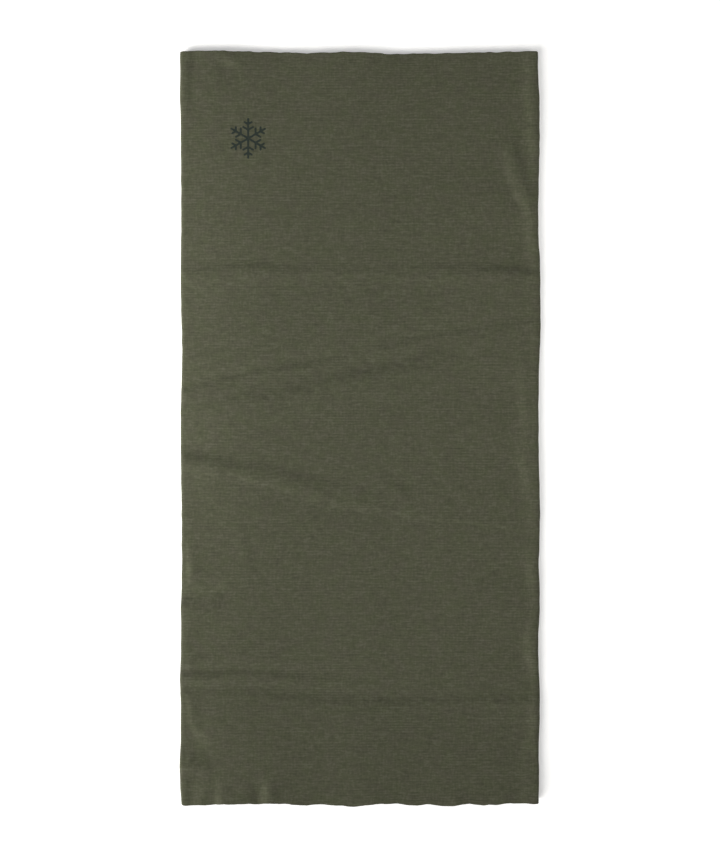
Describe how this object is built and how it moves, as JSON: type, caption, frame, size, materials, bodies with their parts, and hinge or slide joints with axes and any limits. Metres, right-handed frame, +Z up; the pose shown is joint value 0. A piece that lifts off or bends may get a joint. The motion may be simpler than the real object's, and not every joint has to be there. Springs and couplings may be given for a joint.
{
  "type": "neck gaiter",
  "caption": "Seamless knitted tube worn around the neck and face for skiing, lying flat with raw edges and a small print, whose mouth opens to take the head.",
  "frame": {"origin": "middle of the footprint, on the surface that the tube lies on", "axes": "+Y along the tube towards the printed end, +X across it to the right as seen from above, +Z up out of the printed face"},
  "size_m": [0.247, 0.52, 0.0057],
  "materials": {
    "knit": "matte",
    "print": "matte"
  },
  "bodies": {
    "back": {"back_panel": "knit"},
    "back_left": {"back_left_panel": "knit", "left_side_fold": "knit"},
    "front_left": {"front_left_panel": "knit", "front_emblem": "print"},
    "front": {"front_panel": "knit"},
    "front_right": {"front_right_panel": "knit"},
    "back_right": {"back_right_panel": "knit", "right_side_fold": "knit"}
  },
  "joints": [
    {"name": "mouth_opening", "type": "hinge", "parent": "back", "child": "back_left", "pos_m": [-0.041, 0, 0.0006], "axis": [0, 1, 0], "range_deg": [0, 60]},
    {"name": "left_fold_turn", "type": "hinge", "parent": "back_left", "child": "front_left", "pos_m": [-0.1232, 0, 0.0028], "axis": [0, -1, 0], "range_deg": [0, 120], "deforming": ["left_side_fold"]},
    {"name": "left_front_bend", "type": "hinge", "parent": "front_left", "child": "front", "pos_m": [-0.041, 0, 0.005], "axis": [0, 1, 0], "range_deg": [0, 60]},
    {"name": "right_front_bend", "type": "hinge", "parent": "front", "child": "front_right", "pos_m": [0.041, 0, 0.005], "axis": [0, 1, 0], "range_deg": [0, 60]},
    {"name": "right_fold_turn", "type": "hinge", "parent": "front_right", "child": "back_right", "pos_m": [0.1232, 0, 0.0028], "axis": [0, -1, 0], "range_deg": [0, 120], "deforming": ["right_side_fold"]}
  ],
  "couplings": [
    {"joint": "left_fold_turn", "follows": "mouth_opening", "ratio": 2},
    {"joint": "left_front_bend", "follows": "mouth_opening", "ratio": 1},
    {"joint": "right_front_bend", "follows": "mouth_opening", "ratio": 1},
    {"joint": "right_fold_turn", "follows": "mouth_opening", "ratio": 2}
  ]
}
